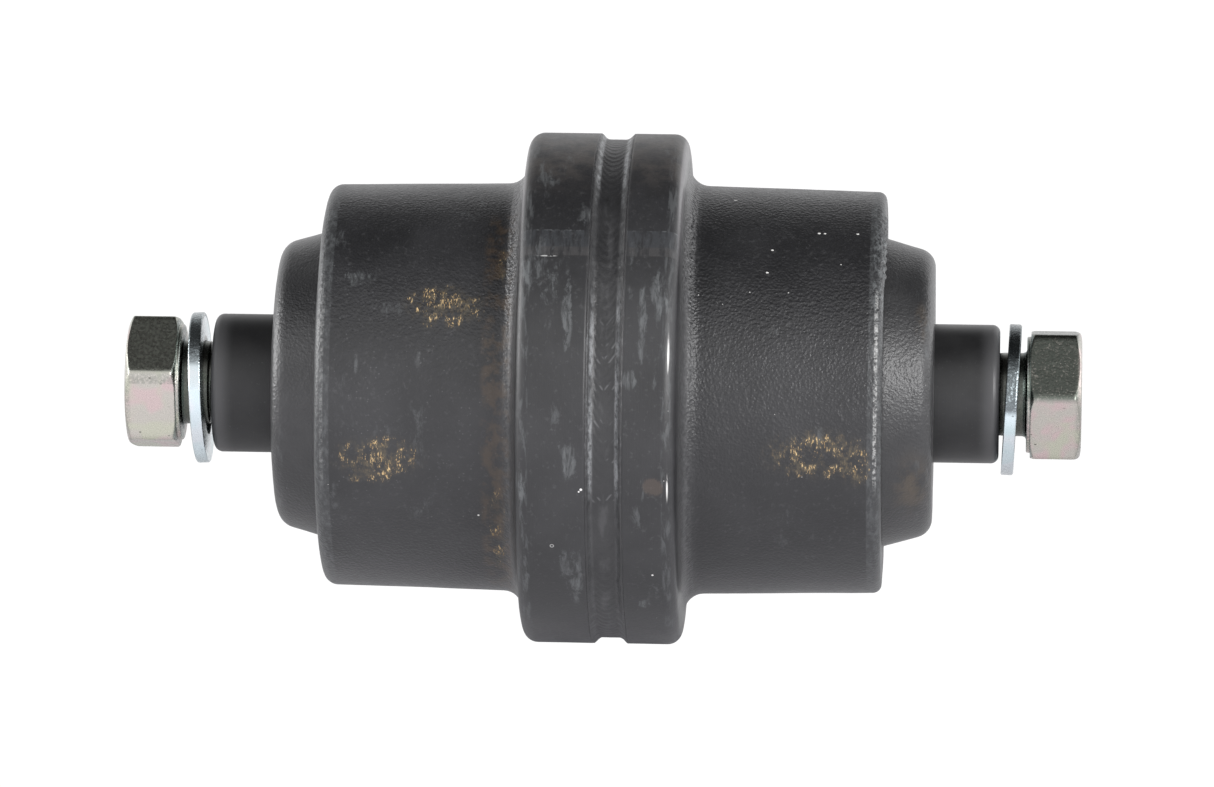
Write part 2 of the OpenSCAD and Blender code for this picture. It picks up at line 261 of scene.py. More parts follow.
class Paint:
    """Node building for one material, in short calls. Lengths in the shader are in millimetres.

    x, y and z are the place on the part, angle and radius are counted round the axis, and rise is
    -1 at the bottom of the roller, 0 at its front and back and 1 at its top.
    """

    def __init__(self, name):
        self.material = bpy.data.materials.new(name)
        self.material.use_nodes = True
        self.tree = self.material.node_tree
        self.tree.nodes.clear()
        self.shader = self.tree.nodes.new("ShaderNodeBsdfPrincipled")
        out = self.tree.nodes.new("ShaderNodeOutputMaterial")
        self.tree.links.new(self.shader.outputs[0], out.inputs["Surface"])
        place = self.tree.nodes.new("ShaderNodeTexCoord").outputs["Object"]
        self.place = self.vector("SCALE", place, scale=1000)
        split = self.tree.nodes.new("ShaderNodeSeparateXYZ")
        self.put(split.inputs[0], self.place)
        self.x, self.y, self.z = split.outputs
        forward = self.math("MULTIPLY", self.y, -1)
        self.angle = self.math("MULTIPLY", self.math("ARCTAN2", self.z, forward), DEGREES)
        self.radius = self.length(self.y, self.z)
        self.rise = self.math("DIVIDE", self.z, self.radius)

    def put(self, socket, value):
        put(self.tree, socket, value)

    def math(self, kind, a, b=None):
        return math_node(self.tree, kind, a, b)

    def length(self, a, b):
        return self.math("SQRT", self.math("ADD", self.math("MULTIPLY", a, a), self.math("MULTIPLY", b, b)))

    def vector(self, kind, a, b=None, scale=None):
        n = self.tree.nodes.new("ShaderNodeVectorMath")
        n.operation = kind
        self.put(n.inputs[0], a)
        if b is not None:
            self.put(n.inputs[1], b)
        if scale is not None:
            self.put(n.inputs["Scale"], scale)
        return n.outputs[0]

    def noise(self, cell, detail=3.0, rough=0.5, stretch=(1, 1, 1), shift=(0, 0, 0), warp=0.0):
        """Noise of 0 to 1 whose cells are about cell mm wide; stretch makes them longer along an axis."""
        at = self.vector("MULTIPLY", self.place, tuple(1 / s for s in stretch))
        at = self.vector("ADD", at, shift)
        n = self.tree.nodes.new("ShaderNodeTexNoise")
        self.put(n.inputs["Vector"], at)
        self.put(n.inputs["Scale"], 1 / cell)
        self.put(n.inputs["Detail"], detail)
        self.put(n.inputs["Roughness"], rough)
        self.put(n.inputs["Distortion"], warp)
        return n.outputs["Fac"]

    def cells(self, size, stretch=(1, 1, 1), shift=(0, 0, 0)):
        """Distance to the nearest scattered point, 0 at the point, with points about size mm apart."""
        at = self.vector("MULTIPLY", self.place, tuple(1 / s for s in stretch))
        at = self.vector("ADD", at, shift)
        n = self.tree.nodes.new("ShaderNodeTexVoronoi")
        self.put(n.inputs["Vector"], at)
        self.put(n.inputs["Scale"], 1 / size)
        return n.outputs["Distance"]

    def ramp(self, value, low, high, to_low=0.0, to_high=1.0):
        return ramp_node(self.tree, value, low, high, to_low, to_high)

    def band(self, value, low, high, edge):
        """1 where value lies between low and high, fading over edge."""
        return self.times(self.ramp(value, low - edge, low), self.ramp(value, high, high + edge, 1.0, 0.0))

    def spot(self, x, angle, half_x, half_angle, soft=1.0):
        """An oval patch on the surface round the axis: 1 in its middle, 0 at its edge."""
        dx = self.math("DIVIDE", self.math("SUBTRACT", self.x, x), half_x)
        da = self.math("DIVIDE", self.math("SUBTRACT", self.angle, angle), half_angle)
        return self.ramp(self.length(dx, da), 1 - soft, 1.0, 1.0, 0.0)

    def spots(self, places, soft=1.0):
        """Several oval patches, each given as (x, angle, half_x, half_angle)."""
        return self.most(*(self.spot(*place, soft) for place in places))

    def rest(self, share):
        """What is left of 1."""
        return self.math("SUBTRACT", 1.0, share)

    def times(self, first, *rest):
        for other in rest:
            first = self.math("MULTIPLY", first, other)
        return first

    def plus(self, first, *rest):
        for other in rest:
            first = self.math("ADD", first, other)
        return first

    def most(self, first, *rest):
        for other in rest:
            first = self.math("MAXIMUM", first, other)
        return first

    def mix(self, share, a, b):
        n = self.tree.nodes.new("ShaderNodeMix")
        n.data_type = "RGBA"
        n.clamp_factor = True
        self.put(n.inputs[0], share)
        for socket, value in ((n.inputs[6], a), (n.inputs[7], b)):
            self.put(socket, (*value, 1) if isinstance(value, tuple) else value)
        return n.outputs[2]

    def bump(self, height, depth, before=None):
        """A normal from a height of 0 to 1 that stands for depth mm."""
        n = self.tree.nodes.new("ShaderNodeBump")
        self.put(n.inputs["Strength"], 1.0)
        self.put(n.inputs["Distance"], depth * MM)
        self.put(n.inputs["Height"], height)
        if before is not None:
            self.put(n.inputs["Normal"], before)
        return n.outputs[0]

    def finish(self, colour, roughness, normal, metallic=0.0, specular=0.5):
        s = self.shader.inputs
        self.put(s["Base Color"], colour)
        self.put(s["Roughness"], roughness)
        self.put(s["Normal"], normal)
        s["Metallic"].default_value = metallic
        s["Specular IOR Level"].default_value = specular
        return self.material


# ---------------------------------------------------------------- materials

CHARCOAL = (0.0135, 0.0135, 0.0145)
CHARCOAL_LIGHT = (0.021, 0.021, 0.0225)
SCUFF = (0.085, 0.09, 0.092)
BARE = (0.42, 0.42, 0.41)
CHIP = (0.72, 0.71, 0.69)
PALE_FLECK = (0.11, 0.112, 0.115)
FLANK_SHEEN = (0.15, 0.145, 0.15)
BROWN_FILM = (0.055, 0.048, 0.043)
TAN = (0.56, 0.40, 0.20)
DARK_TAN = (0.26, 0.17, 0.075)
BROWN = (0.075, 0.05, 0.03)

# places of single marks on the roller: x in mm, angle in degrees, half width along x, half angle
CROWN_RUBS = (
    (-5.5, 17, 1.7, 14), (8.7, 14.5, 1.3, 17), (11.8, 21, 2.6, 9.5), (-12.9, 27.5, 2.4, 9),
    (-5.0, -16.5, 2.4, 6.5), (-4.2, -47, 2.6, 14), (9.0, -56, 2.0, 3), (6.4, 2.0, 2.2, 3.5))
TREAD_RUB = (-45.7, 31.7, 5.8, 5.0)
TREAD_DRIPS = ((-33.8, 9, 1.0, 7), (-45.6, 5, 1.0, 6))
EDGE_GLINTS = ((13.6, 7.5, 0.3, 6), (13.6, -22.5, 0.25, 4))
BRIGHT_LINE = (-9.6, 30.2, 2.2, 0.22)
TAN_PATCHES = (
    (-29.4, 22.3, 10.5, 9.0), (-41.3, -21.4, 11.5, 9.5), (-45.5, -24.0, 3.5, 6.0),
    (41.2, -18.0, 13.5, 10.0), (48.0, -20.5, 5.0, 9.5))
TAN_AT_FILLET = ((-18.9, -46, 2.2, 26), (-18.6, 35, 1.5, 9))
BIG_CHIPS = (
    (40.9, 50.5, 0.45, 0.5), (42.0, 50.5, 0.35, 0.45), (48.2, 50.7, 0.4, 0.45), (32.2, 43.0, 0.4, 0.45),
    (31.4, 34.8, 0.4, 0.4), (24.7, 67.7, 0.5, 0.4), (-2.5, -22.9, 0.38, 0.45), (-2.9, -23.4, 0.25, 0.3),
    (10.7, -45.7, 0.32, 0.36), (-22.5, -38.5, 0.3, 0.4))
COLLAR_STAINS = ((59, -40, 5, 22), (60.5, 29, 1.8, 12))


def shell_paint():
    """Black paint over forge skin, with the wear of a roller that has been handled and stored."""
    p = Paint("shell_paint")
    right = p.ramp(p.x, -2, 2)
    crown = p.ramp(p.radius, 47.0, 48.0)
    fillet = p.band(p.radius, 39.9, 42.6, 0.5)
    tread = p.ramp(p.radius, 39.7, 40.3, 1.0, 0.0)
    away = p.math("ABSOLUTE", p.x)

    cloud = p.noise(16, 4, 0.6)
    speck = p.noise(0.9, 3, 0.6, shift=(7, 3, 1))
    colour = p.mix(p.ramp(p.plus(cloud, p.times(right, tread, -0.08)), 0.35, 0.7), CHARCOAL, CHARCOAL_LIGHT)
    colour = p.mix(p.times(p.ramp(speck, 0.56, 0.74), 0.3), colour, (0.07, 0.07, 0.072))

    # fine pale flecks on the left tread, and a brownish film over the top of the crown
    left_tread = p.times(tread, p.rest(right))
    fleck = p.ramp(p.cells(0.95, shift=(2, 5, 3)), 0.10, 0.17, 1.0, 0.0)
    fleck_groups = p.ramp(p.noise(3.5, 3, 0.6, shift=(1, 8, 8)), 0.46, 0.6)
    colour = p.mix(p.times(fleck, fleck_groups, left_tread, 0.45), colour, PALE_FLECK)
    film = p.ramp(p.noise(4, 5, 0.65, shift=(4, 4, 2)), 0.36, 0.62)
    film = p.times(film, crown, p.ramp(p.rise, 0.72, 0.88))
    colour = p.mix(p.times(film, 0.6), colour, BROWN_FILM)

    # the upper flanks of the flange are painted lighter grey: a painted reflection of the light around them
    flank = p.times(p.band(p.radius, 44.6, 47.7, 0.5), p.ramp(p.rise, 0.38, 0.77))
    colour = p.mix(p.times(flank, 0.6), colour, FLANK_SHEEN)

    # scuffs drawn out round the axis: single ones by place, then thin ones all over the crown and treads
    streak = p.noise(0.9, 6, 0.7, stretch=(1, 6, 6), warp=0.3)
    ragged = p.noise(2.2, 8, 0.74, stretch=(1, 1.8, 1.8), shift=(4, 9, 2), warp=0.5)
    crown_areas = p.noise(8, 2, 0.5, stretch=(0.6, 2, 2), shift=(3, 8, 1))
    tread_areas = p.noise(10, 2, 0.5, stretch=(1, 1.5, 1.5), shift=(7, 2, 4))
    rubs = p.most(
        p.spots(CROWN_RUBS, soft=0.7),
        p.spot(*TREAD_RUB),
        p.times(p.spots(TREAD_DRIPS), 0.85),
        p.times(crown, p.ramp(crown_areas, 0.52, 0.72), 0.8),
        p.times(tread, p.ramp(tread_areas, 0.54, 0.72), 0.55))
    worn = p.times(p.ramp(p.plus(ragged, p.times(rubs, 0.22)), 0.60, 0.72), p.ramp(streak, 0.36, 0.6), rubs)

    # worn edges: of the crown, of both end faces, and the torn one high on the right end; and a painted
    # highlight along each end face
    rim_line = p.most(p.band(p.x, 12.8, 13.9, 0.6), p.band(p.x, -14.0, -12.9, 0.6))
    edge_wear = p.times(p.ramp(p.radius, 46.6, 47.6), rim_line, p.ramp(streak, 0.48, 0.62))
    end_corner = p.ramp(p.radius, 35.6, 36.8)
    end_edge = p.times(p.band(away, 50.8, 54.5, 0.3), end_corner)
    end_grit = p.ramp(p.noise(0.8, 6, 0.7, stretch=(1, 2, 2), shift=(5, 1, 1)), 0.44, 0.62)
    torn = p.times(p.band(p.x, 51.6, 54.5, 0.4), end_corner, p.band(p.angle, 27, 64, 5), end_grit)
    # a thin pale line on each end face, at the front only and stronger on the right: a painted highlight of
    # the light on that edge
    end_face_highlight = p.times(p.band(away, 51.9, 52.3, 0.25), p.ramp(p.radius, 37.0, 37.5))
    end_face_highlight = p.times(end_face_highlight, p.band(p.angle, -24, 24, 8), p.plus(0.3, p.times(right, 0.7)))
    end_face_highlight = p.times(end_face_highlight, p.ramp(p.noise(0.8, 5, 0.7, shift=(1, 1, 6)), 0.42, 0.66))
    scuffs = p.plus(p.times(worn, 0.95), p.times(edge_wear, 0.5), p.times(end_edge, 0.16),
                    p.times(end_edge, end_grit, 0.4), p.times(torn, 0.6))
    scuffs = p.math("MINIMUM", scuffs, 1.0)
    colour = p.mix(scuffs, colour, SCUFF)
    colour = p.mix(p.times(end_face_highlight, 0.75), colour, BARE)

    # painted glints on the right edge of the crown, where the right-hand light catches it, in the pale colour
    # of chips
    glint = p.times(p.spots(EDGE_GLINTS), p.ramp(streak, 0.4, 0.5))
    colour = p.mix(glint, colour, CHIP)

    # a paler rubbed band across the crown, browner at its foot, with broken fine lines at its edges
    brush = p.ramp(p.noise(1.0, 5, 0.65, stretch=(1, 5, 5)), 0.35, 0.6)
    rubbed_band = p.times(crown, brush, p.band(p.angle, 30.6, 37.0, 0.3))
    colour = p.mix(p.times(rubbed_band, 0.3), colour, (0.062, 0.068, 0.075))
    brown_foot = p.times(crown, brush, p.band(p.angle, 30.6, 32.4, 0.5))
    colour = p.mix(p.times(brown_foot, 0.2), colour, (0.065, 0.052, 0.043))
    broken = p.ramp(p.noise(1.2, 3, 0.6, shift=(1, 5, 5)), 0.46, 0.6)
    colour = p.mix(p.times(crown, p.band(p.angle, 37.0, 37.15, 0.15), broken, 0.7), colour, SCUFF)
    colour = p.mix(p.times(p.spot(*BRIGHT_LINE, soft=0.5), broken, 0.8), colour, BARE)

    # one small brown stain, low on the right half of the crown
    rust = p.ramp(p.plus(p.spot(11.1, -22, 2.9, 3.4, 1.0), p.times(ragged, 1.6)), 1.05, 1.35)
    colour = p.mix(p.times(rust, p.spot(11.1, -22, 3.2, 3.8, 0.3), 0.4), colour, (0.085, 0.062, 0.048))

    # dry tan rub marks, short strokes in loose patches over a thin brown haze
    marks = p.noise(0.27, 3, 0.6, stretch=(1, 3.0, 3.0), shift=(3, 3, 3), warp=0.5)
    groups = p.noise(1.8, 4, 0.65, stretch=(1, 1.5, 1.5), shift=(6, 2, 5))
    patches = p.most(p.spots(TAN_PATCHES), p.times(p.spots(TAN_AT_FILLET), 0.8))
    near = p.times(p.ramp(patches, 0.0, 0.5), p.ramp(p.plus(groups, p.times(patches, 0.14)), 0.53, 0.68))
    clumps = p.ramp(p.noise(3.6, 1, 0.5, stretch=(1, 0.8, 0.8), shift=(2, 2, 9)), 0.40, 0.54, 0.12, 1.0)
    tan = p.times(p.ramp(p.plus(marks, p.times(groups, 0.12)), 0.615, 0.67), p.ramp(near, 0.04, 0.45), clumps)
    haze = p.times(p.ramp(patches, 0.0, 0.7), p.ramp(groups, 0.38, 0.62), p.ramp(speck, 0.3, 0.6))
    colour = p.mix(p.times(haze, 0.6), colour, (0.085, 0.068, 0.040))
    colour = p.mix(p.times(tan, 0.9), colour, p.mix(p.ramp(speck, 0.38, 0.62), DARK_TAN, TAN))

    # brown stain in the foot of the left fillet
    stain = p.times(p.band(p.x, -21, -17.0, 1.5), p.band(p.angle, -75, 50, 8))
    stain = p.times(stain, p.ramp(p.noise(2.5, 4, 0.6, shift=(8, 8, 1)), 0.42, 0.62))
    colour = p.mix(p.times(stain, 0.5), colour, BROWN)

    # dust caught in the rough fillets
    high = p.ramp(p.rise, 0.28, 0.56)
    dust = p.ramp(p.noise(0.7, 5, 0.7, shift=(1, 9, 4)), 0.42, 0.62)
    dust = p.times(dust, p.band(p.radius, 40.2, 44.0, 1.0), p.plus(0.35, p.times(high, 0.5)))
    colour = p.mix(dust, colour, (0.13, 0.13, 0.132))
    colour = p.mix(p.times(p.band(p.radius, 40.6, 43.5, 0.8), 0.5), colour, (0.048, 0.048, 0.049))

    # chipped specks, thick on the upper front of the right tread and rare elsewhere
    dense = p.times(right, tread, p.band(p.angle, 28, 62, 8))
    specks = p.ramp(p.cells(2.6, shift=(0.3, 0.6, 0.2)), p.plus(0.035, p.times(dense, 0.035)), 0.02, 0.0, 1.0)
    lottery = p.noise(3.1, 2, 0.5, shift=(2, 7, 5))
    specks = p.times(specks, p.ramp(p.plus(lottery, p.times(dense, 0.07)), 0.60, 0.62))
    colour = p.mix(p.times(specks, 0.9), colour, CHIP)
    colour = p.mix(p.times(p.ramp(p.spots(BIG_CHIPS), 0.15, 0.4), 0.85), colour, CHIP)

    # one tiny pale ring low on the left half of the crown
    whole_ring = p.ramp(p.spot(-8.1, -37.4, 0.55, 0.62), 0.1, 0.3)
    ring = p.math("SUBTRACT", whole_ring, p.ramp(p.spot(-8.1, -37.4, 0.36, 0.4), 0.1, 0.4))
    colour = p.mix(p.times(ring, 0.7), colour, BARE)

    rough = p.plus(0.31, p.times(crown, 0.07), p.times(p.ramp(cloud, 0.3, 0.7), 0.07))
    rough = p.plus(rough, p.times(scuffs, 0.10), p.times(tan, 0.3), p.times(p.ramp(speck, 0.4, 0.7), 0.05))

    # pebbled forge skin under the paint, coarse on the right tread and in the fillets
    peel = p.plus(p.times(p.noise(0.34, 1, 0.5), 0.5), p.times(p.cells(0.62), 0.6))
    coarse = p.noise(1.6, 3, 0.6, shift=(5, 5, 9))
    low = p.ramp(p.rise, -0.74, -0.28, 0.35, 1.0)
    amount = p.plus(p.times(tread, right, low), p.times(left_tread, 0.6),
                    p.times(fillet, p.plus(0.35, high)), 0.14)
    normal = p.bump(p.times(p.plus(p.times(peel, 0.85), p.times(coarse, 0.15)), amount), 0.17)

    # fine scratches round the crown, and turning marks on the end faces
    scratch = p.times(p.noise(0.35, 3, 0.6, stretch=(1, 12, 12)), p.plus(p.times(crown, 0.6), 0.2))
    normal = p.bump(scratch, 0.03, normal)
    turning = p.times(p.noise(0.25, 2, 0.5, stretch=(40, 1, 1)), p.ramp(away, 53.1, 53.3))
    normal = p.bump(turning, 0.01, normal)
    return p.finish(colour, rough, normal)


def weld_paint():
    """Black paint on the weld, its toes painted light where the light catches them: painted highlights over a
    little wear.
    """
    p = Paint("weld_paint")
    off = p.math("ABSOLUTE", p.math("SUBTRACT", p.x, BEAD_X / MM))
    ridge = p.band(off, 2.3, 2.6, 0.4)
    flank = p.band(off, 2.6, 3.6, 0.4)
    # the front and the top, where the light catches the toes; the painted highlight below is strongest there
    lit = p.plus(p.band(p.angle, -20, 16, 9), p.times(p.ramp(p.rise, 0.68, 0.79), 1.3))
    grit = p.noise(0.5, 6, 0.7, stretch=(1, 2.5, 2.5), shift=(3, 1, 4))
    long_wear = p.ramp(p.noise(5, 4, 0.6, stretch=(1, 2, 2), shift=(6, 6, 1)), 0.34, 0.54)
    colour = p.mix(p.ramp(p.noise(9, 4, 0.6), 0.35, 0.7), (0.016, 0.016, 0.017), (0.025, 0.025, 0.026))
    worn = p.times(ridge, p.ramp(grit, 0.30, 0.58), 0.9)
    worn = p.plus(worn, p.times(flank, p.ramp(grit, 0.46, 0.66), 0.3))
    colour = p.mix(p.times(worn, long_wear, p.plus(0.12, p.times(lit, 0.88))), colour, (0.17, 0.175, 0.18))
    dusty = p.ramp(p.noise(2.5, 4, 0.6, stretch=(1, 3, 3), shift=(9, 1, 2)), 0.48, 0.64)
    colour = p.mix(p.times(dusty, p.ramp(off, 1.4, 0.4), 0.4), colour, (0.07, 0.07, 0.072))

    # painted highlights on a few ripple crests at the front, where the light catches them
    inside = p.rest(p.math("DIVIDE", off, GROOVE_FLOOR_HALF / MM))
    ripples = p.times(p.angle, -RIPPLES / 360)
    phase = p.math("FRACT", p.math("SUBTRACT", ripples, p.plus(p.times(inside, 1.5), 10.0)))
    crest = p.times(p.ramp(phase, 0.55, 0.8), p.ramp(phase, 0.86, 0.98, 1.0, 0.0))
    crest = p.times(crest, p.band(off, 0.35, 1.9, 0.4))
    rubbed = p.ramp(p.noise(2.6, 2, 0.5, stretch=(3, 1, 1), shift=(2, 4, 4)), 0.56, 0.66)
    colour = p.mix(p.times(crest, rubbed, p.band(p.angle, -24, 12, 7), 0.55), colour, (0.12, 0.122, 0.125))

    # dark spots of soot
    soot = p.ramp(p.cells(5, stretch=(0.6, 1.6, 1.6)), 0.06, 0.1, 1.0, 0.0)
    colour = p.mix(p.times(soot, 0.8), colour, (0.008, 0.008, 0.008))
    rough = p.plus(0.36, p.times(p.noise(2, 3, 0.5), 0.12))
    normal = p.bump(p.noise(0.55, 3, 0.6), 0.07)
    return p.finish(colour, rough, normal)


def collar_paint():
    """Black paint on the forged collars, with brown stains on the right one and scuffs round the rims."""
    p = Paint("collar_paint")
    away = p.math("ABSOLUTE", p.x)
    cloud = p.noise(12, 4, 0.6, shift=(2, 6, 1))
    colour = p.mix(p.ramp(cloud, 0.35, 0.7), (0.022, 0.022, 0.023), (0.034, 0.034, 0.035))
    right = p.ramp(p.x, -2, 2)
    brown = p.ramp(p.noise(3.0, 4, 0.65, shift=(1, 1, 4)), 0.36, 0.6)
    brown = p.times(brown, right, p.spots(COLLAR_STAINS))
    colour = p.mix(p.times(brown, 0.55), colour, (0.085, 0.065, 0.045))
    streak = p.noise(1.2, 5, 0.65, stretch=(1, 5, 5), shift=(6, 2, 2))
    rim = p.times(p.band(away, 60.0, 62.0, 0.8), p.ramp(streak, 0.54, 0.68))
    colour = p.mix(p.times(rim, 0.5), colour, SCUFF)
    fleck = p.times(p.ramp(p.cells(2.4, stretch=(0.5, 1.3, 1.3)), 0.03, 0.055, 1.0, 0.0),
                    p.ramp(p.noise(7, 2, 0.5), 0.52, 0.58))
    colour = p.mix(p.times(fleck, 0.8), colour, BARE)
    rough = p.plus(0.29, p.times(cloud, 0.12), p.times(rim, 0.05))
    peel = p.plus(p.times(p.noise(0.36, 1, 0.5), 0.5), p.times(p.cells(0.66), 0.4))
    peel = p.plus(peel, p.times(p.noise(2.0, 3, 0.6), 0.2))
    normal = p.bump(peel, 0.14)
    turning = p.times(p.noise(0.3, 2, 0.5, stretch=(40, 1, 1)), p.ramp(away, 62.5, 62.7))
    normal = p.bump(turning, 0.015, normal)
    return p.finish(colour, rough, normal)


def shaft_steel():
    """Ground steel inside the roller, painted stubs outside it and cut threads in the tapped holes."""
    p = Paint("shaft_steel")
    away = p.math("ABSOLUTE", p.x)
    left = p.ramp(p.x, -2, 2, 1.0, 0.0)
    outside = p.ramp(away, 62.6, 62.9)
    bore = p.times(p.ramp(p.radius, 8.6, 8.9, 1.0, 0.0), p.ramp(away, 34, 35))
    cloud = p.noise(6, 3, 0.55)
    painted = p.mix(p.ramp(cloud, 0.35, 0.7), (0.012, 0.012, 0.0125), (0.018, 0.018, 0.0185))
    # the rounded ends of the stubs are painted lighter: a painted highlight of the side light on them
    stub_end_highlight = p.ramp(away, 71.0, 74.5)
    painted = p.mix(p.times(stub_end_highlight, 0.8), painted, (0.07, 0.07, 0.072))
    dust = p.ramp(p.noise(0.5, 4, 0.6), 0.62, 0.78)
    painted = p.mix(p.times(dust, 0.4), painted, (0.10, 0.10, 0.10))
    ground = p.mix(p.noise(0.4, 3, 0.5, stretch=(1, 20, 20)), (0.33, 0.33, 0.34), (0.44, 0.44, 0.45))
    cut = p.mix(cloud, (0.16, 0.155, 0.15), (0.26, 0.255, 0.25))
    colour = p.mix(p.times(outside, p.rest(bore)), ground, painted)
    colour = p.mix(bore, colour, cut)
    rings = p.noise(0.3, 2, 0.5, stretch=(1, 60, 60))
    twist = p.times(p.x, 2 * math.pi * MM / PITCH)
    lead = p.math("SINE", p.math("SUBTRACT", twist, p.times(p.angle, 1 / DEGREES)))
    height = p.plus(p.times(rings, 0.06), p.times(bore, p.times(lead, 0.5)))
    rough = p.plus(0.33, p.times(left, 0.06), p.times(cloud, 0.1), p.times(bore, 0.1))
    return p.finish(colour, rough, p.bump(height, 0.25), specular=0.42)


class Plating:
    """The colours, gloss and grain of one kind of zinc-plated part.

    dull and edge are given as a (left, right) pair: the colour of the upper side, painted darker
    as painted shade, and the angle round the axis above which that shade begins.
    """

    def __init__(self, base, pink, green, dull, edge, rough, grain_depth):
        self.base, self.pink, self.green = base, pink, green
        self.dull, self.edge = dull, edge
        self.rough, self.grain_depth = rough, grain_depth


BOLT_PLATING = Plating(
    base=(0.50, 0.475, 0.43), pink=(0.56, 0.45, 0.44), green=(0.50, 0.50, 0.41),
    dull=((0.33, 0.345, 0.30), (0.10, 0.115, 0.10)), edge=(7.5, -4.6), rough=0.24, grain_depth=0.06)
WASHER_PLATING = Plating(
    base=(0.62, 0.70, 0.73), pink=(0.66, 0.70, 0.73), green=(0.57, 0.68, 0.70),
    dull=((0.26, 0.29, 0.30), (0.12, 0.135, 0.14)), edge=(14.0, -14.0), rough=0.17, grain_depth=0.11)


def zinc(name, plating):
    """Clear-passivated zinc plating: metal with slow drifts of pink and green and a fine grain."""
    p = Paint(name)
    right = p.ramp(p.x, -2, 2)
    left = p.ramp(p.x, -2, 2, 1.0, 0.0)
    away = p.math("ABSOLUTE", p.x)
    # the left bolt stands 1 mm further out, so along counts the same place on both bolts
    along = p.math("SUBTRACT", away, left)
    above_edge = p.math("SUBTRACT", p.angle, p.ramp(p.x, -2, 2, *plating.edge))
    # only washer rims and the sides of the heads get the painted shade on top, so an end face is all one tone
    outer = p.most(p.ramp(p.radius, 12.6, 13.3), p.band(along, 81.0, 90.2, 0.4))
    upper = p.ramp(p.math("SINE", p.times(above_edge, 1 / DEGREES)), -0.06, 0.045)
    upper = p.times(upper, outer)
    lower = p.rest(upper)

    drift = p.noise(5.5, 1, 0.5, warp=0.8)
    drift_two = p.noise(6.5, 1, 0.5, shift=(9, 4, 6), warp=0.8)
    colour = p.mix(p.times(p.ramp(drift, 0.42, 0.62), lower), plating.base, plating.pink)
    green = p.times(p.ramp(drift_two, 0.48, 0.68), p.plus(0.4, p.times(lower, 0.6)))
    colour = p.mix(green, colour, plating.green)

    # painted shade in blotchy patches on the upper side, with a trace of the same dark dirt all over and
    # hairlines of the plain colour through the shade; a greyer border round each face, and small pits
    grit = p.noise(0.5, 4, 0.65)
    blot = p.noise(2.2, 4, 0.65, shift=(2, 2, 9), warp=0.5)
    dirt_and_shade = p.ramp(p.plus(p.times(grit, 0.6), p.times(blot, 0.4)), 0.32, 0.48)
    dirt_and_shade = p.times(dirt_and_shade, p.plus(0.04, p.times(upper, 0.9)))
    colour = p.mix(dirt_and_shade, colour, p.mix(right, *plating.dull))
    hair = p.band(p.noise(1.6, 2, 0.6, shift=(5, 2, 2), warp=1.2), 0.499, 0.501, 0.009)
    colour = p.mix(p.times(hair, upper, p.ramp(blot, 0.4, 0.6), 0.5), colour, plating.base)
    top_strip = p.times(p.band(above_edge, -9, -2, 1.5), left, p.ramp(along, 79.8, 80.3))
    border = p.most(p.ramp(along, 89.6, 90.5), p.band(along, 80.7, 81.3, 0.4), top_strip)
    colour = p.mix(p.times(border, p.ramp(grit, 0.36, 0.56), 0.55), colour, (0.24, 0.25, 0.22))
    pits = p.ramp(p.cells(1.7, stretch=(1.4, 0.8, 0.8)), 0.07, 0.14, 1.0, 0.0)
    colour = p.mix(p.times(pits, p.ramp(p.noise(4, 3, 0.5), 0.46, 0.56), 0.75), colour, (0.07, 0.07, 0.06))

    # the shank is painted dark: painted shade in the narrow gaps between head, washer and shaft
    shank = p.times(p.ramp(p.radius, 8.6, 9.4, 1.0, 0.0), p.ramp(away, 89, 88))
    colour = p.mix(p.times(shank, 0.9), colour, (0.05, 0.06, 0.052))
    rough = p.plus(plating.rough, p.times(p.ramp(grit, 0.35, 0.7), 0.14))
    height = p.times(p.plus(p.times(grit, 0.6), p.times(blot, 0.7)), p.plus(0.06, upper))
    return p.finish(colour, rough, p.bump(height, plating.grain_depth), metallic=1.0)


def bronze():
    """Bushing bronze, turned, with a few browner clouds."""
    p = Paint("bushing_bronze")
    lay = p.noise(0.35, 3, 0.6, stretch=(1, 30, 30))
    colour = p.mix(lay, (0.50, 0.31, 0.13), (0.72, 0.50, 0.24))
    colour = p.mix(p.ramp(p.noise(5, 4, 0.6), 0.5, 0.75), colour, (0.34, 0.20, 0.09))
    return p.finish(colour, p.plus(0.28, p.times(lay, 0.15)), p.bump(lay, 0.01), metallic=1.0)


def iron():
    """Lapped grey iron of the seal rings."""
    p = Paint("seal_iron")
    lay = p.noise(0.3, 3, 0.6, stretch=(30, 1, 1))
    colour = p.mix(p.noise(3, 4, 0.6), (0.30, 0.30, 0.31), (0.42, 0.43, 0.44))
    return p.finish(colour, p.plus(0.25, p.times(lay, 0.2)), p.bump(lay, 0.01), metallic=1.0)


def rubber():
    """Black rubber with a little dust on it."""
    p = Paint("seal_rubber")
    dust = p.noise(1.2, 4, 0.6)
    colour = p.mix(p.ramp(dust, 0.45, 0.75), (0.016, 0.016, 0.017), (0.04, 0.04, 0.042))
    return p.finish(colour, p.plus(0.55, p.times(dust, 0.2)), p.bump(p.noise(0.4, 3, 0.6), 0.02))


def pin_steel():
    """Drawn steel of the locking pins and the oil plug."""
    p = Paint("pin_steel")
    lay = p.noise(0.25, 3, 0.6, stretch=(1, 20, 1))
    colour = p.mix(p.noise(2.5, 4, 0.6), (0.32, 0.32, 0.33), (0.5, 0.5, 0.52))
    return p.finish(colour, p.plus(0.3, p.times(lay, 0.15)), p.bump(lay, 0.01), metallic=1.0)


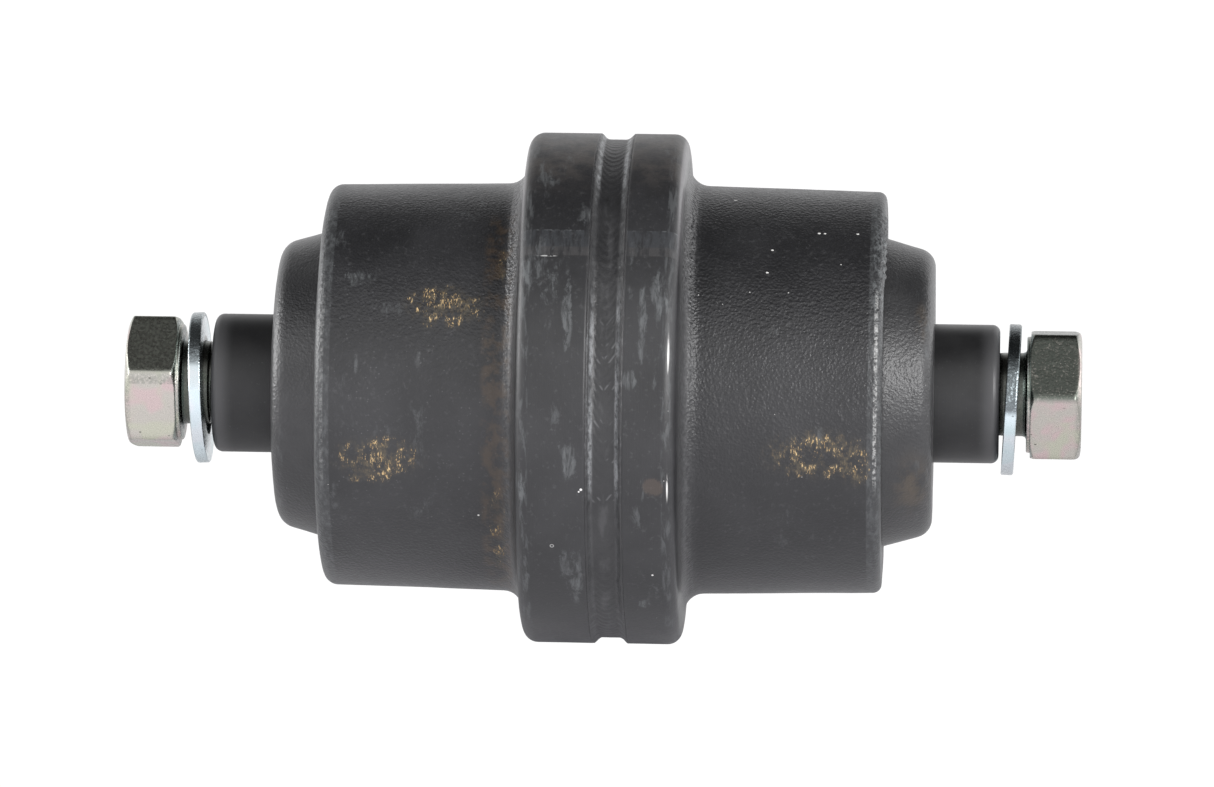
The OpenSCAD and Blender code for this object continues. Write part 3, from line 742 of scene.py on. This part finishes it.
paints = {
    "shell_paint": shell_paint(),
    "weld_paint": weld_paint(),
    "collar_paint": collar_paint(),
    "shaft_steel": shaft_steel(),
    "bushing_bronze": bronze(),
    "seal_iron": iron(),
    "seal_rubber": rubber(),
    "pin_steel": pin_steel(),
    "bolt_zinc": zinc("bolt_zinc", BOLT_PLATING),
    "washer_zinc": zinc("washer_zinc", WASHER_PLATING),
}

for part in frame["record"]["subparts"]:
    data = frame["nodes"][part["node"]].data
    data.materials.clear()
    data.materials.append(paints[part["material_slot"]])


# ---------------------------------------------------------------- roller

def shell_step(x, r):
    """Fine rings where the shell shows, coarse ones inside it and in the weld bevel."""
    if r > 46 * MM and abs(x - BEAD_X) < GROOVE_HALF - 0.1 * MM:
        return 3 * MM
    if r > FLANGE_R - 3 * MM or r > RIM_BORE_R - 0.1 * MM and abs(x) > SHELL_END - 0.5 * MM:
        return 0.45 * MM
    return 0.5 * MM if r > TREAD_END_R - 3 * MM else 3 * MM


def shell_relief(hand):
    """Forge-skin relief of one half shell; hand is -1 on the left and 1 on the right."""
    rough = 1.0 if hand > 0 else 0.65

    def push(x, r, a, at):
        outer = smooth(RIM_BORE_R + 1.2 * MM, RIM_BORE_R + 2.5 * MM, r)
        bevel = (np.abs(x - BEAD_X) < GROOVE_HALF + 0.25 * MM) & (r < FLANGE_R - 0.02 * MM)
        outer = outer * (1 - bevel)
        crown = smooth(46.5 * MM, 48 * MM, r)
        fillet = window(40 * MM, 43 * MM, 1.5 * MM, r)
        skin = rough * (1 - 0.6 * crown) * (1 + 0.8 * fillet)
        h = 0.06 * grain(at, 13 * MM, 1.3) * (1 - 0.5 * crown)
        h += skin * (0.020 * grain(at, 4.2 * MM, 5.1) + 0.009 * grain(at, 1.9 * MM, 9.7))
        return h * outer * MM

    return push


FLASH_ARC = (35, 63)
FLASH_PITCH = 2.2 * MM


def trimmed_flash(x, r, a):
    """Torn rungs of trimmed flash standing on the end face of the right shell, high on its front."""
    where = smooth(35.9 * MM, 36.7 * MM, r) * (1 - smooth(38.2 * MM, 38.45 * MM, r))
    where = where * smooth(SHELL_END - 0.4 * MM, SHELL_END - 0.02 * MM, x)
    arc = window(*FLASH_ARC, 3, np.degrees(a))
    rung = 0.5 + 0.5 * np.cos(a * TREAD_END_R / FLASH_PITCH * 2 * math.pi)
    return x + where * arc * (0.12 + 0.38 * rung ** 1.5) * MM, r


for hand, end in ((-1, "left"), (1, "right")):
    node = "roller_shell_" + end
    loop = cut_finer(outline_of(node), shell_step)
    points, faces = lathe(loop, SHELL_STEPS, trimmed_flash if hand > 0 else None, shell_relief(hand))
    piece("forged_shell_" + end, points, faces, paints["shell_paint"], "roller", node)


def bead_step(x, r):
    """Fine rings on the shown face of the weld, coarse ones in its root."""
    return 0.25 * MM if r > GROOVE_FLOOR_R - 0.2 * MM else 2 * MM


def bead_relief(x, r, a, at):
    """Ripples of the weld pool, drawn out downwards in the middle of the bead, and its uneven toes."""
    off = (x - BEAD_X) / GROOVE_FLOOR_HALF
    shown = smooth(GROOVE_FLOOR_R - 0.25 * MM, GROOVE_FLOOR_R - 0.05 * MM, r)
    middle = np.clip(1 - off * off, 0, 1)
    wander = 0.25 * grain(at, 7 * MM, 3.3)
    phase = (-a * RIPPLES / (2 * math.pi) - 1.5 * middle + wander) % 1.0
    ripple = np.where(phase < 0.75, phase / 0.75, (1 - phase) / 0.25)
    slow = grain(at, 6 * MM, 8.8)
    toe = window(0.95, 1.35, 0.25, np.abs(off)) * grain(at, 1.6 * MM, 4.4)
    h = 0.07 * (ripple - 0.5) * smooth(0, 0.35, middle) + 0.07 * slow * middle + 0.10 * toe
    return h * shown * MM


loop = cut_finer(outline_of("centre_weld_bead"), bead_step)
points, faces = lathe(loop, BEAD_STEPS, None, bead_relief)
piece("weld_bead", points, faces, paints["weld_paint"], "roller", "centre_weld_bead")


# ---------------------------------------------------------------- end collars

def collar_step(x, r):
    """Fine rings where a collar shows, coarse ones inside the roller."""
    return 0.45 * MM if abs(x) > SHELL_END - 3 * MM and r > 14 * MM else 2 * MM


def collar_relief(hand):
    """Forge-skin relief of one collar; its turned end face is smooth and lies a hair lower."""

    def push(x, r, a, at):
        outside = smooth(SHELL_END - 1.5 * MM, SHELL_END, np.abs(x)) * smooth(15 * MM, 17 * MM, r)
        side = smooth(20 * MM, 25 * MM, r)
        h = 0.05 * grain(at, 10 * MM, 2.2 + hand) + 0.022 * side * grain(at, 3.6 * MM, 6.1 - hand)
        h += 0.009 * side * grain(at, 1.7 * MM, 1.1)
        return (h - 0.03 * (1 - side)) * outside * MM

    return push


def pin_hole(obj, x):
    """Opens the cross hole for the locking pin in the back of a collar."""
    cutter_mesh = bpy.data.meshes.new("cutter")
    bm = bmesh.new()
    bmesh.ops.create_cone(
        bm, cap_ends=True, segments=48, radius1=PIN_R, radius2=PIN_R, depth=20 * MM,
        matrix=Matrix.Translation((x, COLLAR_R - 6 * MM, 0)) @ Matrix.Rotation(math.pi / 2, 4, "X"))
    bm.to_mesh(cutter_mesh)
    bm.free()
    cutter = bpy.data.objects.new("cutter", cutter_mesh)
    bpy.context.scene.collection.objects.link(cutter)
    cut = obj.modifiers.new("pin_hole", "BOOLEAN")
    cut.operation = "DIFFERENCE"
    cut.solver = "EXACT"
    cut.object = cutter
    bpy.context.view_layer.update()
    shape = bpy.data.meshes.new_from_object(obj.evaluated_get(bpy.context.evaluated_depsgraph_get()))
    obj.modifiers.clear()
    obj.data = shape
    bpy.data.objects.remove(cutter)


for hand, end in ((-1, "left"), (1, "right")):
    node = "end_collar_" + end
    loop = cut_finer(outline_of(node), collar_step)
    points, faces = lathe(loop, COLLAR_STEPS, None, collar_relief(hand))
    collar = piece("forged_collar_" + end, points, faces, paints["collar_paint"],
                   "shaft_assembly", node)
    pin_hole(collar, hand * PIN_X)


# ---------------------------------------------------------------- bolts

def hex_radius(a):
    """Distance to the side of the hexagon at each angle, with its corners a little rounded."""
    power = 60.0
    total = sum(np.clip(np.cos(a - k * math.pi / 3), 0, None) ** power for k in range(6))
    return HEX_HALF / total ** (1 / power)


def soft_least(values, sharp):
    """The least of several arrays in millimetres, with the meeting edges rounded off."""
    return -np.log(sum(np.exp(-sharp * v) for v in values)) / sharp


def bolt_shape(x, r, a):
    """Turns the plain turned bolt into a hexagon head and a helical thread."""
    head = x > 0.3 * MM
    foot = 12.6 * MM + (x - FACE_T) / math.tan(math.radians(30))
    crown = 11.2 * MM + (HEAD_H - x) / math.tan(math.radians(25))
    sides = soft_least([hex_radius(a) / MM, foot / MM, crown / MM], 7.0) * MM
    r_head = np.where(r > 10.5 * MM, np.minimum(sides, r), r)
    phase = (x / PITCH - a / (2 * math.pi)) % 1.0
    flank = np.abs(phase * 2 - 1)
    ridge = smooth(0.12, 0.88, flank)
    start = smooth(-BOLT_LEN, -BOLT_LEN + 3 * MM, x)
    stop = 1 - smooth(-PLAIN_LEN - 1.8 * MM, -PLAIN_LEN, x)
    threaded = (x < -PLAIN_LEN) & (x > -BOLT_LEN + 0.4 * MM) & (r > 5 * MM)
    crest = CREST_R - (1 - start) * 0.9 * MM
    r_thread = ROOT_R - 0.25 * MM * (1 - start) + (crest - ROOT_R) * ridge * stop
    return x, np.where(head, r_head, np.where(threaded, r_thread, r))


def bolt_step(x, r):
    """Fine rings along the thread, to cut it well, and middling ones on the head."""
    if x < 0:
        return 0.14 * MM if r > 5 * MM else 2 * MM
    return 0.3 * MM


# half outline of the right bolt before its hexagon and thread, in mm: (x from under the head, radius)
SHANK_OUTLINE = (
    (-40, 0.4), (-40, 6.3), (-38.5, 7.2), (-38.4, 7.9), (-5.2, 7.9),
    (-4.4, 8.0), (-0.7, 8.0), (-0.2, 8.2), (0, 8.6))
HEAD_OUTLINE = (
    (0, 10.95), (0.12, 11.1), (0.68, 11.15), (0.75, 11.3), (0.78, 12.5), (1.4, 13.9),
    (9.6, 13.9), (10.3, 11.7), (10.42, 11.1), (10.5, 10.6), (10.5, 0.4))
BOLT_OUTLINE = [(a * MM, b * MM) for a, b in SHANK_OUTLINE + HEAD_OUTLINE]


def corner_angle(node):
    """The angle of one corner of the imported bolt's head."""
    far = max(frame["nodes"][node].data.vertices, key=lambda v: math.hypot(v.co.y, v.co.z))
    return math.atan2(far.co.z, -far.co.y)


for hand, end in ((-1, "left"), (1, "right")):
    node = "hex_bolt_" + end
    low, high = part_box(node)
    under = high.x - HEAD_H if hand > 0 else -(low.x + HEAD_H)
    loop = cut_finer(BOLT_OUTLINE, bolt_step)
    points, faces = lathe(loop, BOLT_STEPS, bolt_shape)
    # the hexagon made above has a corner at 30 degrees; a left bolt is a right one turned end for end
    turn = corner_angle(node) if hand > 0 else math.pi - corner_angle(node)
    turn -= math.radians(30)
    y, z = points[:, 1].copy(), points[:, 2].copy()
    points[:, 1] = y * math.cos(turn) + z * math.sin(turn)
    points[:, 2] = -y * math.sin(turn) + z * math.cos(turn)
    points[:, 0] += under
    if hand < 0:
        points[:, :2] *= -1
    piece("zinc_bolt_" + end, points, faces, paints["bolt_zinc"], "bolt_" + end, node)


# ---------------------------------------------------------------- floor, light and camera

FRONT_LEVEL = 1.16
BACK_LEVEL = 1.0
RIGHT_LEVEL = 2.4
LEFT_LEVEL = 2.6
OVERHEAD_LEVELS = (0.085, 0.03)
WHITE_LEVEL = 1.05
FLOOR_GLOW_FRONT, FLOOR_GLOW_BACK = 0.80, 0.12
FLOOR_RADIUS = 40
FLOOR_GAP = 0.1 * MM

CAMERA_AZIMUTH = math.radians(2.7)
CAMERA_ROLL = math.radians(0.87)
CAMERA_DISTANCE = 1.615
CAMERA_DROP = 1.0 * MM
LENS, SENSOR = 249, 36


def studio():
    """Soft light from a world that is bright in front and at the sides and white to look at."""
    world = bpy.data.worlds.new("studio")
    bpy.context.scene.world = world
    world.use_nodes = True
    tree = world.node_tree
    tree.nodes.clear()
    out = tree.nodes.new("ShaderNodeOutputWorld")
    look = tree.nodes.new("ShaderNodeTexCoord").outputs["Generated"]
    split = tree.nodes.new("ShaderNodeSeparateXYZ")
    tree.links.new(look, split.inputs[0])
    dx, dy, dz = split.outputs

    # bright in front and low behind, dark overhead; the turn is 0 in front, 90 overhead and 180 behind
    forward = math_node(tree, "MULTIPLY", dy, -1)
    turn = math_node(tree, "MULTIPLY", math_node(tree, "ARCTAN2", dz, forward), DEGREES)
    front = ramp_node(tree, turn, 30, 68, FRONT_LEVEL, 0.0)
    behind = ramp_node(tree, turn, 116, 148, 0.0, BACK_LEVEL)
    level = math_node(tree, "ADD", front, behind)

    # bright low down at both sides, and a little light from overhead, more of it on the left
    to_right = ramp_node(tree, dx, 0.3, 0.75, 0.0, RIGHT_LEVEL)
    to_left = ramp_node(tree, math_node(tree, "MULTIPLY", dx, -1), 0.55, 0.85, 0.0, LEFT_LEVEL)
    low_down = ramp_node(tree, dz, 0.35, 0.75, 1.0, 0.0)
    sides = math_node(tree, "MULTIPLY", math_node(tree, "MAXIMUM", to_right, to_left), low_down)
    overhead = ramp_node(tree, dx, -0.3, 0.2, *OVERHEAD_LEVELS)
    level = math_node(tree, "ADD", overhead, math_node(tree, "MAXIMUM", level, sides))

    light = tree.nodes.new("ShaderNodeBackground")
    put(tree, light.inputs["Color"], (1.0, 1.0, 1.01, 1))
    put(tree, light.inputs["Strength"], level)
    white = tree.nodes.new("ShaderNodeBackground")
    put(tree, white.inputs["Color"], (1, 1, 1, 1))
    put(tree, white.inputs["Strength"], WHITE_LEVEL)
    show_by_camera_ray(tree, light, white, out)


def show_by_camera_ray(tree, for_light, for_camera, out):
    """Uses one shader for light and reflections and the other for what the camera sees directly."""
    pick = tree.nodes.new("ShaderNodeMixShader")
    camera_ray = tree.nodes.new("ShaderNodeLightPath").outputs["Is Camera Ray"]
    tree.links.new(camera_ray, pick.inputs[0])
    tree.links.new(for_light.outputs[0], pick.inputs[1])
    tree.links.new(for_camera.outputs[0], pick.inputs[2])
    tree.links.new(pick.outputs[0], out.inputs["Surface"])


def floor():
    """A pale matt floor that glows as painted light for the roller's reflections, plain white to look at."""
    material = bpy.data.materials.new("pale_floor")
    material.use_nodes = True
    tree = material.node_tree
    tree.nodes.clear()
    out = tree.nodes.new("ShaderNodeOutputMaterial")
    matt = tree.nodes.new("ShaderNodeBsdfPrincipled")
    matt.inputs["Base Color"].default_value = (0.7, 0.7, 0.7, 1)
    matt.inputs["Roughness"].default_value = 0.9
    matt.inputs["Specular IOR Level"].default_value = 0.0
    matt.inputs["Emission Color"].default_value = (0.975, 0.965, 1.04, 1)
    # the floor glows less behind the roller than before it: a painted shadow of the roller in its reflections
    split = tree.nodes.new("ShaderNodeSeparateXYZ")
    tree.links.new(tree.nodes.new("ShaderNodeTexCoord").outputs["Object"], split.inputs[0])
    glow = ramp_node(tree, split.outputs[1], -0.12, 0.08, FLOOR_GLOW_FRONT, FLOOR_GLOW_BACK)
    tree.links.new(glow, matt.inputs["Emission Strength"])
    white = tree.nodes.new("ShaderNodeEmission")
    white.inputs["Strength"].default_value = WHITE_LEVEL
    show_by_camera_ray(tree, matt, white, out)
    bm = bmesh.new()
    bmesh.ops.create_circle(bm, cap_ends=True, segments=96, radius=FLOOR_RADIUS)
    mesh = bpy.data.meshes.new("floor")
    bm.to_mesh(mesh)
    bm.free()
    mesh.materials.append(material)
    obj = bpy.data.objects.new("floor", mesh)
    obj.location.z = cad_box[0].z - FLOOR_GAP
    bpy.context.scene.collection.objects.link(obj)


def softbox(name, azimuth, elevation, distance, width, height, power):
    """A rectangular lamp that faces the roller; azimuth is 0 in front and 90 degrees on the right."""
    light = bpy.data.lights.new(name, "AREA")
    light.shape = "RECTANGLE"
    light.size, light.size_y = width, height
    light.energy = power
    obj = bpy.data.objects.new(name, light)
    bpy.context.scene.collection.objects.link(obj)
    a, e = math.radians(azimuth), math.radians(elevation)
    toward = Vector((math.sin(a) * math.cos(e), -math.cos(a) * math.cos(e), math.sin(e)))
    obj.location = toward * distance
    obj.rotation_mode = "QUATERNION"
    obj.rotation_quaternion = toward.to_track_quat("Z", "Y")
    obj.visible_camera = False


def camera():
    """Level with the axis, a little to the right of square on, from well back."""
    data = bpy.data.cameras.new("camera")
    obj = bpy.data.objects.new("camera", data)
    bpy.context.scene.collection.objects.link(obj)
    data.sensor_width = SENSOR
    data.lens = LENS
    data.clip_start, data.clip_end = 0.05, 100
    obj.location = (
        math.sin(CAMERA_AZIMUTH) * CAMERA_DISTANCE, -math.cos(CAMERA_AZIMUTH) * CAMERA_DISTANCE, -CAMERA_DROP)
    turn = Matrix.Rotation(CAMERA_AZIMUTH, 4, "Z") @ Matrix.Rotation(math.pi / 2, 4, "X")
    obj.rotation_mode = "QUATERNION"
    obj.rotation_quaternion = (turn @ Matrix.Rotation(CAMERA_ROLL, 4, "Z")).to_quaternion()
    bpy.context.scene.camera = obj


studio()
floor()
softbox("softbox_right", azimuth=40, elevation=9, distance=1.7, width=0.6, height=1.1, power=24)
softbox("softbox_left", azimuth=-96, elevation=8, distance=1.7, width=0.7, height=1.1, power=18)
camera()
bpy.context.scene.view_settings.view_transform = "Standard"
